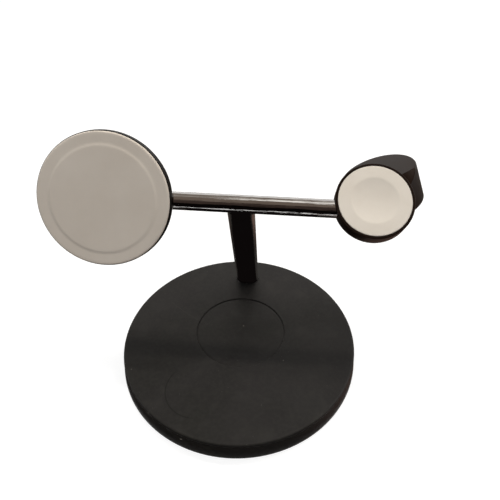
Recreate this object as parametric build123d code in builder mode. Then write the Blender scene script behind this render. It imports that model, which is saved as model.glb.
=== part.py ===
"""A three in one wireless charger: a base with an earbud pad, a chrome T, a phone disc and a watch disc.

Units are millimetres. +Z is up, the origin is the middle of the foot pad's underside, -Y is the front.
"""
import os
from math import cos, radians, sin, sqrt

from build123d import *

os.makedirs("parts", exist_ok=True)

# Base: the round black body on the table
base_diameter = 114.0
base_top_diameter = 112.0
base_height = 10.0
base_wall = 1.8
base_floor = 1.4
cover_thickness = 1.5
cover_edge_radius = 0.9
cover_skirt_depth = 1.5
cover_skirt_width = 1.2
seam = 0.15
foot_chamfer = 0.6
pad_thickness = 0.8
pad_inset = 3.0
pad_edge_radius = 0.25
recess_radius = 22.0
recess_depth = 0.4
recess_edge_radius = 0.25
recess_y = 4.0

# Chrome T: the leaning stem, the cross bar and the foot flange
stem_set_in = 12.38
stem_width = 12.0
stem_depth = 7.6
stem_wall = 1.5
bar_y = 10.6
bar_height = 82.8
bar_diameter = 7.7
bar_wall = 1.5
bar_end_wall = 7.0
bar_blend_radius = 1.6
spigot_radius = 2.0
spigot_bore_radius = 1.2
phone_spigot_length = 3.0
watch_spigot_length = 3.1
flange_width = 30.0
flange_thickness = 1.4
flange_margin = 0.3
flange_corner_radius = 2.5
lead_diameter = 1.8
lead_bend_radius = 2.4
lead_set_off = 2.6
lead_head_room = 0.3

# Phone head
phone_x = -56.0
phone_diameter = 56.0
phone_tilt = 26.0
phone_stand_off = 7.5
phone_depth = 12.2
phone_wall = 1.5
phone_straight_side = 4.5
phone_back_drop = 1.8
phone_back_radius = 3.6
phone_lip = 1.0
phone_lip_radius = 0.4
phone_face_thickness = 1.8
phone_ring_radius = 22.4
phone_ring_width = 1.0
phone_ring_depth = 0.2
phone_coil_inner = 9.0
phone_coil_gap = 0.9
phone_coil_thickness = 0.9
phone_ferrite_thickness = 0.5
magnet_width = 3.4
magnet_thickness = 1.4
magnet_count = 18
magnet_gap = 1.0
shield_thickness = 0.6
spigot_boss_radius = 3.4
phone_board_width = 24.0
phone_board_height = 20.0
phone_board_x = -4.0
phone_board_depth = 5.2
phone_board_thickness = 1.0
phone_post_x = 18.0
phone_post_y = 14.0
post_radius = 2.2
phone_connector_length = 4.0
phone_connector_height = 2.2

# Watch head: a tilted disc on a drum that leans towards the stand
watch_x = 55.2
watch_face_diameter = 30.0
watch_diameter = 32.6
watch_tilt = 54.0
watch_stand_off = 4.3
watch_rise = 3.2
watch_depth = 9.0
watch_wall = 1.6
watch_ledge = 1.5
watch_edge_radius = 0.5
watch_face_thickness = 2.0
watch_face_edge_radius = 0.3
watch_dish_radius = 9.9
watch_dish_depth = 1.1
watch_magnet_radius = 5.0
watch_magnet_thickness = 2.0
watch_coil_inner = 6.0
watch_coil_outer = 11.4
watch_coil_thickness = 1.2
watch_ferrite_radius = 11.8
watch_ferrite_thickness = 0.8
watch_board_radius = 10.5
watch_board_thickness = 0.8
watch_tab_reach = 12.3
watch_tab_width = 4.0
drum_height = 16.2
drum_lean = 22.5
drum_back_lean = 6.6
drum_shift = 3.0
drum_back = 19.7
drum_rise = 6.9
drum_edge_radius = 0.8
drum_step = 1.8
lid_thickness = 1.8
lid_screw_x = 8.0
lid_screw_y = 9.0

# Clearances
slip = 0.1
loose = 0.4

# Earbud pad's charging parts
carrier_radius = 24.0
carrier_wall = 1.2
carrier_floor = 1.6
ferrite_thickness = 0.7
pad_coil_thickness = 1.2
pad_coil_inner = 9.0
pad_coil_outer = 21.0
coil_turns = 5
coil_wire_share = 0.7
coil_ridge_share = 0.2

# Base inner parts
ballast_thickness = 2.4
ballast_edge = 3.0
sheet_thickness = 0.25
board_thickness = 1.2
board_edge = 1.2
board_window = 0.6
boss_circle_radius = 43.0
boss_angle = 40.0
boss_radius = 3.0
screw_radius = 1.1
screw_head_radius = 2.2
screw_head_height = 1.0
screw_length = 5.8
short_screw_length = 4.4
frame_screw_radius = 1.4
frame_screw_head_radius = 2.4
frame_screw_head_height = 1.5
frame_screw_x = 11.0
frame_screw_set_forward = 3.8
jack_width = 9.0
jack_height = 5.0
jack_nose_radius = 2.9
jack_bore_radius = 1.9
jack_bore_depth = 6.2
jack_pin_radius = 0.65
jack_pin_set_back = 0.8
jack_ear = 1.5
jack_ear_length = 2.0
jack_ear_thickness = 0.5
led_angle = 20.0
led_width = 2.4
led_height = 0.8
pipe_radius = 0.5
connector_width = 4.0
connector_height = 1.8
connector_x = 19.0
chip_size = 7.0
chip_thickness = 1.0
chip_spread_x = 74.0
chip_spread_y = 15.0
driver_size = 5.0
driver_pitch = 11.0
driver_y = -36.0
capacitor_radius = 2.0
capacitor_pitch = 6.5
capacitor_set_in = 7.58

# Heights and radii in the base, from the table up
floor_top = pad_thickness + base_floor
ballast_top = floor_top + ballast_thickness
board_bottom = ballast_top + sheet_thickness
board_top = board_bottom + board_thickness
flange_top = ballast_top + flange_thickness
cover_bottom = base_height - cover_thickness
rim_top = cover_bottom - seam
base_radius = base_diameter / 2
wall_lean = (base_diameter - base_top_diameter) / 2 / (base_height - pad_thickness)


def radius_at(height):
    """Outer radius of the base's leaning side at a height."""
    return base_radius - wall_lean * (height - pad_thickness)


rim_radius = radius_at(rim_top)
inner_radius = min(rim_radius, base_radius) - base_wall
ballast_radius = inner_radius - ballast_edge
board_radius = inner_radius - board_edge


def axial(face):
    """Plane that holds a face's axis, with the axis along its local y."""
    return Plane(origin=face.origin, x_dir=face.x_dir, z_dir=face.x_dir.cross(face.z_dir))


def axis_of(face):
    """Axis through a face's centre along its normal."""
    return Axis(face.origin, face.z_dir)


def save(builder, name):
    """Label a finished piece and write it."""
    builder.part.label = name
    export_step(builder.part, f"parts/{name}.step")


# Where the phone head stands
bar_radius = bar_diameter / 2
bar_centre = Vector(0, bar_y, bar_height)
phone_normal = Vector(0, -cos(radians(phone_tilt)), sin(radians(phone_tilt)))
phone_face_centre = Vector(phone_x, bar_y, bar_height) + phone_normal * phone_stand_off
phone_plane = Plane(origin=phone_face_centre, x_dir=(1, 0, 0), z_dir=phone_normal)
phone_radius = phone_diameter / 2
phone_cavity_radius = phone_radius - phone_wall

# Where the watch head's disc and drum stand
watch_normal = Vector(0, -cos(radians(watch_tilt)), sin(radians(watch_tilt)))
watch_up = Vector(0, sin(radians(watch_tilt)), cos(radians(watch_tilt)))
watch_on_bar = Vector(watch_x, bar_y, bar_height)
watch_face_centre = watch_on_bar + watch_normal * watch_stand_off + watch_up * watch_rise
watch_plane = Plane(origin=watch_face_centre, x_dir=(1, 0, 0), z_dir=watch_normal)
watch_radius = watch_diameter / 2
watch_face_radius = watch_face_diameter / 2
watch_mouth_radius = watch_face_radius + slip
watch_cavity_radius = watch_mouth_radius - watch_ledge
drum_across = Vector(cos(radians(drum_lean)), 0, sin(radians(drum_lean)))
drum_normal = Vector(-sin(radians(drum_lean)), sin(radians(drum_back_lean)), cos(radians(drum_lean)))
drum_centre = Vector(watch_x + drum_shift, bar_y + drum_back, bar_height + drum_rise)
drum_plane = Plane(origin=drum_centre, x_dir=drum_across, z_dir=drum_normal)
drum_cavity_radius = watch_radius - watch_wall

# Where the bar ends in the two heads
bar_left = phone_x + phone_cavity_radius - phone_spigot_length
bar_right = watch_x - sqrt(watch_radius**2 - watch_rise**2) + watch_spigot_length

# Where the stem stands, set in from the base's wall
stem_foot_y = inner_radius - stem_set_in
stem_foot = Vector(0, stem_foot_y, base_height)
stem_run = bar_centre - stem_foot
stem_plane = Plane(origin=stem_foot, x_dir=(1, 0, 0), z_dir=stem_run)
stem_slope = stem_run.Y / stem_run.Z
stem_upright = stem_run.Z / stem_run.length


def stem_y(height):
    """Where the stem's middle line stands at a height."""
    return stem_foot_y + stem_slope * (height - base_height)


# Places on the plan of the base
frame_screw_y = stem_y(cover_bottom) - frame_screw_set_forward
frame_screw_points = [(frame_screw_x, frame_screw_y), (-frame_screw_x, frame_screw_y)]
flange_front_y = frame_screw_y - frame_screw_head_radius - flange_margin
flange_back_y = stem_y(flange_top) + stem_depth / 2 / stem_upright + flange_margin
flange_depth = flange_back_y - flange_front_y
flange_y = (flange_front_y + flange_back_y) / 2
jack_z = board_bottom + board_thickness / 2
jack_front_y = flange_back_y + board_window + slip
jack_back_y = sqrt(inner_radius**2 - (jack_width / 2) ** 2) - slip
jack_length = jack_back_y - jack_front_y
jack_nose_y = radius_at(jack_z) - seam
boss_places = [
    Vector(boss_circle_radius, 0, 0).rotate(Axis.Z, turn)
    for turn in (boss_angle, 180 - boss_angle, 180 + boss_angle, 360 - boss_angle)
]
boss_points = [(place.X, place.Y) for place in boss_places]
lead_z = cover_bottom - lead_diameter / 2 - lead_head_room
lead_y = stem_y(lead_z)
led_direction = Vector(0, -1, 0).rotate(Axis.Z, -led_angle)
led_across = led_direction.cross(Vector(0, 0, 1))
pipe_plane = Plane(origin=(0, 0, board_top + led_height / 2), x_dir=led_across, z_dir=led_direction)


def phone_section(inset):
    """Half section of the phone head's cup, drawn inwards by an inset."""
    side = phone_radius - inset
    back = -phone_depth + inset
    with BuildSketch(axial(phone_plane)) as section:
        with BuildLine():
            Polyline(
                (0, -phone_lip),
                (side, -phone_lip),
                (side, -phone_straight_side),
                (side - phone_back_drop, back),
                (0, back),
                close=True,
            )
        make_face()
        fillet(section.vertices().group_by(Axis.Y)[0].sort_by(Axis.X)[-1], phone_back_radius - inset)
    return section.sketch


def wound_coil(face, inner, outer, top, thickness):
    """Section of a flat wound coil: a ring with a shallow ridge for each turn."""
    pitch = (outer - inner) / coil_turns
    ridge = thickness * coil_ridge_share
    middle = (inner + outer) / 2
    with BuildSketch(axial(face)) as section:
        with Locations((middle, top - (thickness + ridge) / 2)):
            Rectangle(outer - inner, thickness - ridge)
        with Locations((middle, top - thickness / 2)):
            with GridLocations(pitch, pitch, coil_turns, 1):
                Rectangle(pitch * coil_wire_share, thickness)
    return section.sketch


# Foot pad: a silicone disc that grips the table
with BuildPart() as foot_pad:
    with BuildSketch():
        Circle(base_radius - pad_inset)
    extrude(amount=pad_thickness)
    fillet(foot_pad.edges().group_by(Axis.Z)[0], pad_edge_radius)
save(foot_pad, "foot_pad")

# Base shell: the floor and the leaning side wall, with the inlet, the light hole and the screw seats
with BuildPart() as base_shell:
    with BuildSketch(Plane.XZ):
        with BuildLine():
            Polyline(
                (0, pad_thickness),
                (base_radius - foot_chamfer, pad_thickness),
                (radius_at(pad_thickness + foot_chamfer), pad_thickness + foot_chamfer),
                (rim_radius, rim_top),
                (inner_radius, rim_top),
                (inner_radius, floor_top),
                (0, floor_top),
                close=True,
            )
        make_face()
    revolve(axis=Axis.Z)
    with BuildSketch(Plane.XY.offset(pad_thickness)):
        with Locations(*boss_points):
            Circle(screw_head_radius + slip)
    extrude(amount=screw_head_height, mode=Mode.SUBTRACT)
    with BuildSketch(Plane.XY.offset(pad_thickness)):
        with Locations(*boss_points):
            Circle(screw_radius + slip)
    extrude(amount=base_floor, mode=Mode.SUBTRACT)
    with BuildSketch(Plane.XZ.offset(-jack_front_y)):
        with Locations((0, jack_z)):
            Circle(jack_nose_radius + slip)
    extrude(amount=-base_radius, mode=Mode.SUBTRACT)
    with BuildSketch(pipe_plane):
        Circle(pipe_radius + slip)
    extrude(amount=base_diameter, mode=Mode.SUBTRACT)
save(base_shell, "base_shell")

# Chrome T: one casting with a hollow stem, a hollow bar, a spigot at each end and a foot flange
with BuildPart() as t_frame:
    with BuildSketch(Plane.YZ.offset(phone_x)):
        with Locations((bar_y, bar_height)):
            Circle(bar_radius)
    extrude(amount=watch_x - phone_x)
    with BuildSketch(stem_plane):
        SlotOverall(stem_width, stem_depth)
    extrude(amount=stem_run.length, both=True)
    fillet(
        t_frame.edges()
        .filter_by_position(Axis.Z, bar_height - 2 * bar_diameter, bar_height + bar_radius)
        .filter_by_position(Axis.X, -stem_width, stem_width),
        bar_blend_radius,
    )
    split(bisect_by=Plane.XY.offset(flange_top), keep=Keep.TOP)
    with BuildSketch(Plane.XY.offset(ballast_top)):
        with Locations((0, flange_y)):
            RectangleRounded(flange_width, flange_depth, flange_corner_radius)
        with Locations(*frame_screw_points):
            Circle(frame_screw_radius + slip, mode=Mode.SUBTRACT)
    extrude(amount=flange_thickness)
    # The bar stops against the two heads
    add(phone_section(-seam))
    revolve(axis=axis_of(phone_plane), mode=Mode.SUBTRACT)
    with BuildSketch(watch_plane):
        Circle(watch_radius + seam)
    extrude(amount=watch_depth, both=True, mode=Mode.SUBTRACT)
    # Spigots that the heads sit on
    with BuildSketch(Plane.YZ.offset(bar_left)):
        with Locations((bar_y, bar_height)):
            Circle(spigot_radius)
    extrude(amount=bar_right - bar_left)
    # Hollow inside for the two leads
    with BuildSketch(Plane.YZ.offset(bar_left)):
        with Locations((bar_y, bar_height)):
            Circle(spigot_bore_radius)
    extrude(amount=bar_right - bar_left, mode=Mode.SUBTRACT)
    with BuildSketch(Plane.YZ.offset(phone_x + phone_radius + bar_end_wall)):
        with Locations((bar_y, bar_height)):
            Circle(bar_radius - bar_wall)
    extrude(amount=watch_x - watch_radius - phone_x - phone_radius - 2 * bar_end_wall, mode=Mode.SUBTRACT)
    with BuildSketch(stem_plane.offset((flange_top - base_height) / stem_upright)):
        SlotOverall(stem_width - 2 * stem_wall, stem_depth - 2 * stem_wall)
    extrude(amount=(bar_height - flange_top) / stem_upright, mode=Mode.SUBTRACT)
    with Locations((0, lead_y, lead_z)):
        Box(2 * stem_width, lead_diameter + 2 * loose, lead_diameter + 2 * slip, mode=Mode.SUBTRACT)
save(t_frame, "t_frame")

# Base cover: the top plate with the shallow earbud recess, a locating skirt, screw bosses and the stem's slot
recess_floor_z = base_height - recess_depth
with BuildPart() as base_cover:
    with BuildSketch(Plane.XY.offset(cover_bottom)):
        Circle(radius_at(cover_bottom))
    extrude(amount=cover_thickness)
    fillet(base_cover.edges().group_by(Axis.Z)[-1], cover_edge_radius)
    with BuildSketch(Plane.XY.offset(recess_floor_z)):
        with Locations((0, recess_y)):
            Circle(recess_radius)
    extrude(amount=recess_depth, mode=Mode.SUBTRACT)
    fillet(
        base_cover.edges()
        .filter_by(GeomType.CIRCLE)
        .filter_by_position(Axis.Z, recess_floor_z, recess_floor_z),
        recess_edge_radius,
    )
    with BuildSketch(Plane.XY.offset(cover_bottom)):
        Circle(inner_radius - slip)
        Circle(inner_radius - slip - cover_skirt_width, mode=Mode.SUBTRACT)
        with Locations((0, base_radius)):
            Rectangle(jack_width + 2 * loose, base_radius, mode=Mode.SUBTRACT)
    extrude(amount=-cover_skirt_depth)
    with BuildSketch(Plane.XY.offset(floor_top)):
        with Locations(*boss_points):
            Circle(boss_radius)
    extrude(amount=cover_bottom - floor_top)
    with BuildSketch(Plane.XY.offset(pad_thickness)):
        with Locations(*boss_points):
            Circle(screw_radius + slip)
    extrude(amount=screw_length + loose, mode=Mode.SUBTRACT)
    with BuildSketch(stem_plane):
        SlotOverall(stem_width + 2 * slip, stem_depth + 2 * slip)
    extrude(amount=base_height, both=True, mode=Mode.SUBTRACT)
save(base_cover, "base_cover")

# Cover screws: driven up through the floor into the cover's bosses, hidden by the foot pad
with BuildPart() as cover_screws:
    with BuildSketch(Plane.XY.offset(pad_thickness)):
        with Locations(*boss_points):
            Circle(screw_head_radius)
    extrude(amount=screw_head_height)
    with BuildSketch(Plane.XY.offset(pad_thickness)):
        with Locations(*boss_points):
            Circle(screw_radius)
    extrude(amount=screw_length)
save(cover_screws, "cover_screws")

# Ballast: a steel plate on the floor, notched for the inlet and drilled for the bosses and the frame screws
with BuildPart() as ballast_plate:
    with BuildSketch(Plane.XY.offset(floor_top)):
        Circle(ballast_radius)
        with Locations(*boss_points):
            Circle(boss_radius + loose, mode=Mode.SUBTRACT)
        with Locations(*frame_screw_points):
            Circle(frame_screw_radius + slip, mode=Mode.SUBTRACT)
        with Locations((0, base_radius)):
            Rectangle(jack_width + 2 * loose, 2 * (base_radius - jack_front_y + loose), mode=Mode.SUBTRACT)
    extrude(amount=ballast_thickness)
save(ballast_plate, "ballast_plate")

# Frame screws: hold the T's flange down on the ballast
with BuildPart() as frame_screws:
    with BuildSketch(Plane.XY.offset(flange_top)):
        with Locations(*frame_screw_points):
            Circle(frame_screw_head_radius)
    extrude(amount=frame_screw_head_height)
    fillet(frame_screws.edges().group_by(Axis.Z)[-1], frame_screw_head_height / 3)
    with BuildSketch(Plane.XY.offset(floor_top)):
        with Locations(*frame_screw_points):
            Circle(frame_screw_radius)
    extrude(amount=flange_top - floor_top)
save(frame_screws, "frame_screws")

# Board outline, shared by the board and the insulating sheet under it
with BuildSketch() as board_outline:
    Circle(board_radius)
    with Locations((0, recess_y)):
        Circle(carrier_radius + board_window, mode=Mode.SUBTRACT)
    with Locations((0, flange_y)):
        Rectangle(flange_width + 2 * board_window, flange_depth + 2 * board_window, mode=Mode.SUBTRACT)
    with Locations((0, base_radius)):
        Rectangle(jack_width + 2 * slip, 2 * (base_radius - jack_front_y + slip), mode=Mode.SUBTRACT)
    with Locations(*boss_points):
        Circle(boss_radius + loose, mode=Mode.SUBTRACT)

# Insulating sheet between the ballast and the board
with BuildPart() as insulator_sheet:
    with BuildSketch(Plane.XY.offset(ballast_top)):
        add(board_outline.sketch)
    extrude(amount=sheet_thickness)
save(insulator_sheet, "insulator_sheet")

# Main board: a ring round the earbud coil
with BuildPart() as main_board:
    with BuildSketch(Plane.XY.offset(board_bottom)):
        add(board_outline.sketch)
    extrude(amount=board_thickness)
save(main_board, "main_board")

# Board components: the chips beside the coil, the drivers in front of it and the tall capacitors
capacitor_y = capacitor_set_in - board_radius
with BuildPart() as board_components:
    with BuildSketch(Plane.XY.offset(board_top)):
        with GridLocations(chip_spread_x, chip_spread_y, 2, 2):
            Rectangle(chip_size, chip_size)
        with Locations((0, driver_y)):
            with GridLocations(driver_pitch, driver_pitch, 3, 1):
                Rectangle(driver_size, driver_size)
    extrude(amount=chip_thickness)
    with BuildSketch(Plane.XY.offset(board_top)):
        with Locations((0, capacitor_y)):
            with GridLocations(capacitor_pitch, capacitor_pitch, 4, 1):
                Circle(capacitor_radius)
    extrude(amount=cover_bottom - board_top - loose)
save(board_components, "board_components")

# Lead connectors: one for the phone's lead and one for the watch's lead
with BuildPart() as lead_connectors:
    with BuildSketch(Plane.XY.offset(board_top)):
        with Locations((connector_x, lead_y), (-connector_x, lead_y)):
            Rectangle(connector_width, connector_width)
    extrude(amount=connector_height)
save(lead_connectors, "lead_connectors")

# Inlet jack: a sunk power socket with soldering ears and a round nose through the wall
with BuildPart() as inlet_jack:
    with Locations((0, jack_front_y, jack_z)):
        Box(jack_width, jack_length, jack_height, align=(Align.CENTER, Align.MIN, Align.CENTER))
    with Locations((0, jack_front_y, board_top)):
        Box(
            jack_width + 2 * jack_ear,
            jack_ear_length,
            jack_ear_thickness,
            align=(Align.CENTER, Align.MIN, Align.MIN),
        )
    with BuildSketch(Plane.XZ.offset(-jack_front_y)):
        with Locations((0, jack_z)):
            Circle(jack_nose_radius)
    extrude(amount=jack_front_y - jack_nose_y)
    with BuildSketch(Plane.XZ.offset(-jack_nose_y)):
        with Locations((0, jack_z)):
            Circle(jack_bore_radius)
    extrude(amount=jack_bore_depth, mode=Mode.SUBTRACT)
save(inlet_jack, "inlet_jack")

# Inlet pin: the centre contact inside the socket
with BuildPart() as inlet_pin:
    with BuildSketch(Plane.XZ.offset(jack_bore_depth - jack_nose_y)):
        with Locations((0, jack_z)):
            Circle(jack_pin_radius)
    extrude(amount=jack_pin_set_back - jack_bore_depth)
    fillet(inlet_pin.edges().group_by(Axis.Y)[-1], jack_pin_radius / 2)
save(inlet_pin, "inlet_pin")

# Indicator lamp on the board's edge
with BuildPart() as indicator_lamp:
    with BuildSketch(Plane(origin=(0, 0, board_top), x_dir=led_direction)):
        with Locations((board_radius - led_width / 2 - slip, 0)):
            Rectangle(led_width, led_width)
    extrude(amount=led_height)
save(indicator_lamp, "indicator_lamp")

# Light pipe: carries the lamp's light through the wall
with BuildPart() as light_pipe:
    with BuildSketch(pipe_plane.offset(board_radius)):
        Circle(pipe_radius)
    extrude(amount=radius_at(pipe_plane.origin.Z) - seam - board_radius)
save(light_pipe, "light_pipe")

# Earbud coil carrier: a cup that stands on the ballast
pad_plane = Plane(origin=(0, recess_y, 0))
carrier_floor_top = ballast_top + carrier_floor
pad_ferrite_top = carrier_floor_top + ferrite_thickness
pad_coil_top = pad_ferrite_top + pad_coil_thickness
with BuildPart() as coil_carrier:
    with BuildSketch(pad_plane.offset(ballast_top)):
        Circle(carrier_radius)
    extrude(amount=pad_coil_top - ballast_top)
    with BuildSketch(pad_plane.offset(carrier_floor_top)):
        Circle(carrier_radius - carrier_wall)
    extrude(amount=pad_coil_top - carrier_floor_top, mode=Mode.SUBTRACT)
save(coil_carrier, "coil_carrier")

# Earbud ferrite sheet in the carrier
with BuildPart() as earbud_ferrite:
    with BuildSketch(pad_plane.offset(carrier_floor_top)):
        Circle(carrier_radius - carrier_wall - slip)
    extrude(amount=ferrite_thickness)
save(earbud_ferrite, "earbud_ferrite")

# Earbud coil on the ferrite
with BuildPart() as earbud_coil:
    add(wound_coil(pad_plane, pad_coil_inner, pad_coil_outer, pad_coil_top, pad_coil_thickness))
    revolve(axis=axis_of(pad_plane))
save(earbud_coil, "earbud_coil")

# Depths behind the phone face, from the face inwards
magnet_back = phone_face_thickness + magnet_thickness
phone_ferrite_front = phone_face_thickness + phone_coil_thickness
shield_back = magnet_back + shield_thickness
phone_board_back = phone_board_depth + phone_board_thickness

# Hollow of the phone cup: leaves the spigot's boss and the board's posts standing
with BuildPart() as phone_hollow:
    add(phone_section(phone_wall))
    revolve(axis=axis_of(phone_plane))
    with BuildSketch(Plane.YZ.offset(bar_left)):
        with Locations((bar_y, bar_height)):
            Circle(spigot_boss_radius)
    extrude(amount=phone_radius, mode=Mode.SUBTRACT)
    with BuildSketch(phone_plane.offset(-phone_board_back)):
        with Locations((phone_board_x, 0)):
            with GridLocations(phone_post_x, phone_post_y, 2, 2):
                Circle(post_radius)
    extrude(amount=-phone_depth, mode=Mode.SUBTRACT)

# Phone housing: the black cup behind the white face, drilled for the spigot and the board's screws
with BuildPart() as phone_housing:
    add(phone_section(0))
    revolve(axis=axis_of(phone_plane))
    add(phone_hollow.part, mode=Mode.SUBTRACT)
    with BuildSketch(Plane.YZ.offset(bar_left)):
        with Locations((bar_y, bar_height)):
            Circle(spigot_radius + slip)
    extrude(amount=phone_radius, mode=Mode.SUBTRACT)
    with BuildSketch(phone_plane.offset(-phone_board_depth)):
        with Locations((phone_board_x, 0)):
            with GridLocations(phone_post_x, phone_post_y, 2, 2):
                Circle(screw_radius + slip)
    extrude(amount=-short_screw_length - slip, mode=Mode.SUBTRACT)
save(phone_housing, "phone_housing")

# Phone face: the white disc with a rounded lip, a middle raised by a soft step and a plug into the cup
with BuildPart() as phone_face:
    with BuildSketch(axial(phone_plane)):
        with BuildLine():
            Polyline(
                (0, 0),
                (phone_ring_radius - phone_ring_width / 2, 0),
                (phone_ring_radius + phone_ring_width / 2, -phone_ring_depth),
                (phone_radius, -phone_ring_depth),
                (phone_radius, -phone_lip),
                (phone_cavity_radius - slip, -phone_lip),
                (phone_cavity_radius - slip, -phone_face_thickness),
                (0, -phone_face_thickness),
                close=True,
            )
        make_face()
    revolve(axis=axis_of(phone_plane))
    fillet(
        phone_face.edges()
        .filter_by_position(axis_of(phone_plane), -phone_ring_depth - slip, -phone_ring_depth + slip)
        .sort_by(SortBy.LENGTH)[-1],
        phone_lip_radius,
    )
save(phone_face, "phone_face")

# Phone magnets: a broken ring glued behind the face
magnet_outer = phone_cavity_radius - loose
magnet_inner = magnet_outer - magnet_width
with BuildPart() as phone_magnets:
    with BuildSketch(phone_plane.offset(-phone_face_thickness)):
        Circle(magnet_outer)
        Circle(magnet_inner, mode=Mode.SUBTRACT)
        with PolarLocations(magnet_outer, magnet_count):
            Rectangle(2 * magnet_width, magnet_gap, mode=Mode.SUBTRACT)
    extrude(amount=-magnet_thickness)
save(phone_magnets, "phone_magnets")

# Phone coil, inside the ring of magnets
phone_coil_outer = magnet_inner - phone_coil_gap
with BuildPart() as phone_coil:
    add(
        wound_coil(
            phone_plane,
            phone_coil_inner,
            phone_coil_outer,
            -phone_face_thickness,
            phone_coil_thickness,
        )
    )
    revolve(axis=axis_of(phone_plane))
save(phone_coil, "phone_coil")

# Phone ferrite, behind the coil
with BuildPart() as phone_ferrite:
    with BuildSketch(phone_plane.offset(-phone_ferrite_front)):
        Circle(magnet_inner - loose)
    extrude(amount=-phone_ferrite_thickness)
save(phone_ferrite, "phone_ferrite")

# Phone shield: a steel disc that closes the magnets' backs
with BuildPart() as phone_shield:
    with BuildSketch(phone_plane.offset(-magnet_back)):
        Circle(magnet_outer)
    extrude(amount=-shield_thickness)
save(phone_shield, "phone_shield")

# Phone board on the cup's posts
with BuildPart() as phone_board:
    with BuildSketch(phone_plane.offset(-phone_board_depth)):
        with Locations((phone_board_x, 0)):
            Rectangle(phone_board_width, phone_board_height)
            with GridLocations(phone_post_x, phone_post_y, 2, 2):
                Circle(screw_radius + slip, mode=Mode.SUBTRACT)
    extrude(amount=-phone_board_thickness)
save(phone_board, "phone_board")

# Phone board's screws, driven back into the posts
with BuildPart() as phone_screws:
    with BuildSketch(phone_plane.offset(-phone_board_depth)):
        with Locations((phone_board_x, 0)):
            with GridLocations(phone_post_x, phone_post_y, 2, 2):
                Circle(screw_head_radius)
    extrude(amount=screw_head_height)
    with BuildSketch(phone_plane.offset(-phone_board_depth)):
        with Locations((phone_board_x, 0)):
            with GridLocations(phone_post_x, phone_post_y, 2, 2):
                Circle(screw_radius)
    extrude(amount=-short_screw_length)
save(phone_screws, "phone_screws")

# Phone connector: where the lead from the stem plugs into the back of the phone board
with BuildPart() as phone_connector:
    with BuildSketch(phone_plane.offset(-phone_board_back)):
        with Locations((phone_connector_length / 2, 0)):
            Rectangle(phone_connector_length, connector_width)
    extrude(amount=-phone_connector_height)
save(phone_connector, "phone_connector")

# Hollow of the watch head's drum: leaves the posts for the lid's screws standing
with BuildPart() as drum_hollow:
    with BuildSketch(drum_plane.offset(-watch_wall)):
        Circle(drum_cavity_radius)
    extrude(amount=-drum_height)
    split(bisect_by=watch_plane.offset(-drum_step - watch_wall), keep=Keep.BOTTOM)
    with BuildSketch(drum_plane.offset(lid_thickness - drum_height)):
        with Locations((lid_screw_x, lid_screw_y), (-lid_screw_x, lid_screw_y)):
            Circle(post_radius)
    extrude(amount=drum_height, mode=Mode.SUBTRACT)

# Watch housing: a puck that carries the watch face, moulded in one with the leaning drum behind it
with BuildPart() as watch_housing:
    with BuildSketch(drum_plane):
        Circle(watch_radius)
    extrude(amount=-drum_height)
    fillet(watch_housing.edges().sort_by(axis_of(drum_plane))[-1], drum_edge_radius)
    split(bisect_by=watch_plane.offset(-drum_step), keep=Keep.BOTTOM)
    with BuildSketch(watch_plane):
        Circle(watch_radius)
    extrude(amount=-watch_depth)
    fillet(watch_housing.edges().sort_by(axis_of(watch_plane))[-1], watch_edge_radius)
    with BuildSketch(watch_plane):
        Circle(watch_mouth_radius)
    extrude(amount=-watch_face_thickness, mode=Mode.SUBTRACT)
    with BuildSketch(watch_plane):
        Circle(watch_cavity_radius)
    extrude(amount=watch_wall - watch_depth, mode=Mode.SUBTRACT)
    add(drum_hollow.part, mode=Mode.SUBTRACT)
    with BuildSketch(Plane.YZ.offset(bar_right)):
        with Locations((bar_y, bar_height)):
            Circle(spigot_radius + slip)
    extrude(amount=-watch_radius, mode=Mode.SUBTRACT)
    with BuildSketch(drum_plane.offset(-drum_height)):
        with Locations((lid_screw_x, lid_screw_y), (-lid_screw_x, lid_screw_y)):
            Circle(screw_radius + slip)
    extrude(amount=screw_length + loose, mode=Mode.SUBTRACT)
save(watch_housing, "watch_housing")

# Watch face: a pale disc with a shallow round dish that takes the back of a watch
dish_sphere_radius = (watch_dish_radius**2 + watch_dish_depth**2) / (2 * watch_dish_depth)
dish_half_drop = dish_sphere_radius - sqrt(dish_sphere_radius**2 - (watch_dish_radius / 2) ** 2)
dish_half_depth = watch_dish_depth - dish_half_drop
with BuildPart() as watch_face:
    with BuildSketch(axial(watch_plane)):
        with BuildLine():
            Polyline(
                (0, -watch_dish_depth),
                (0, -watch_face_thickness),
                (watch_face_radius, -watch_face_thickness),
                (watch_face_radius, 0),
                (watch_dish_radius, 0),
            )
            ThreePointArc(
                (watch_dish_radius, 0),
                (watch_dish_radius / 2, -dish_half_depth),
                (0, -watch_dish_depth),
            )
        make_face()
    revolve(axis=axis_of(watch_plane))
    fillet(
        watch_face.edges().filter_by_position(axis_of(watch_plane), -slip, slip),
        watch_face_edge_radius,
    )
save(watch_face, "watch_face")

# Watch coil behind the face
with BuildPart() as watch_coil:
    add(
        wound_coil(
            watch_plane,
            watch_coil_inner,
            watch_coil_outer,
            -watch_face_thickness,
            watch_coil_thickness,
        )
    )
    revolve(axis=axis_of(watch_plane))
save(watch_coil, "watch_coil")

# Watch magnet in the coil's middle
with BuildPart() as watch_magnet:
    with BuildSketch(watch_plane.offset(-watch_face_thickness)):
        Circle(watch_magnet_radius)
    extrude(amount=-watch_magnet_thickness)
save(watch_magnet, "watch_magnet")

# Watch ferrite ring behind the coil
watch_ferrite_front = watch_face_thickness + watch_coil_thickness
watch_board_front = watch_ferrite_front + watch_ferrite_thickness
with BuildPart() as watch_ferrite:
    with BuildSketch(watch_plane.offset(-watch_ferrite_front)):
        Circle(watch_ferrite_radius)
        Circle(watch_magnet_radius + 2 * slip, mode=Mode.SUBTRACT)
    extrude(amount=-watch_ferrite_thickness)
save(watch_ferrite, "watch_ferrite")

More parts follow.
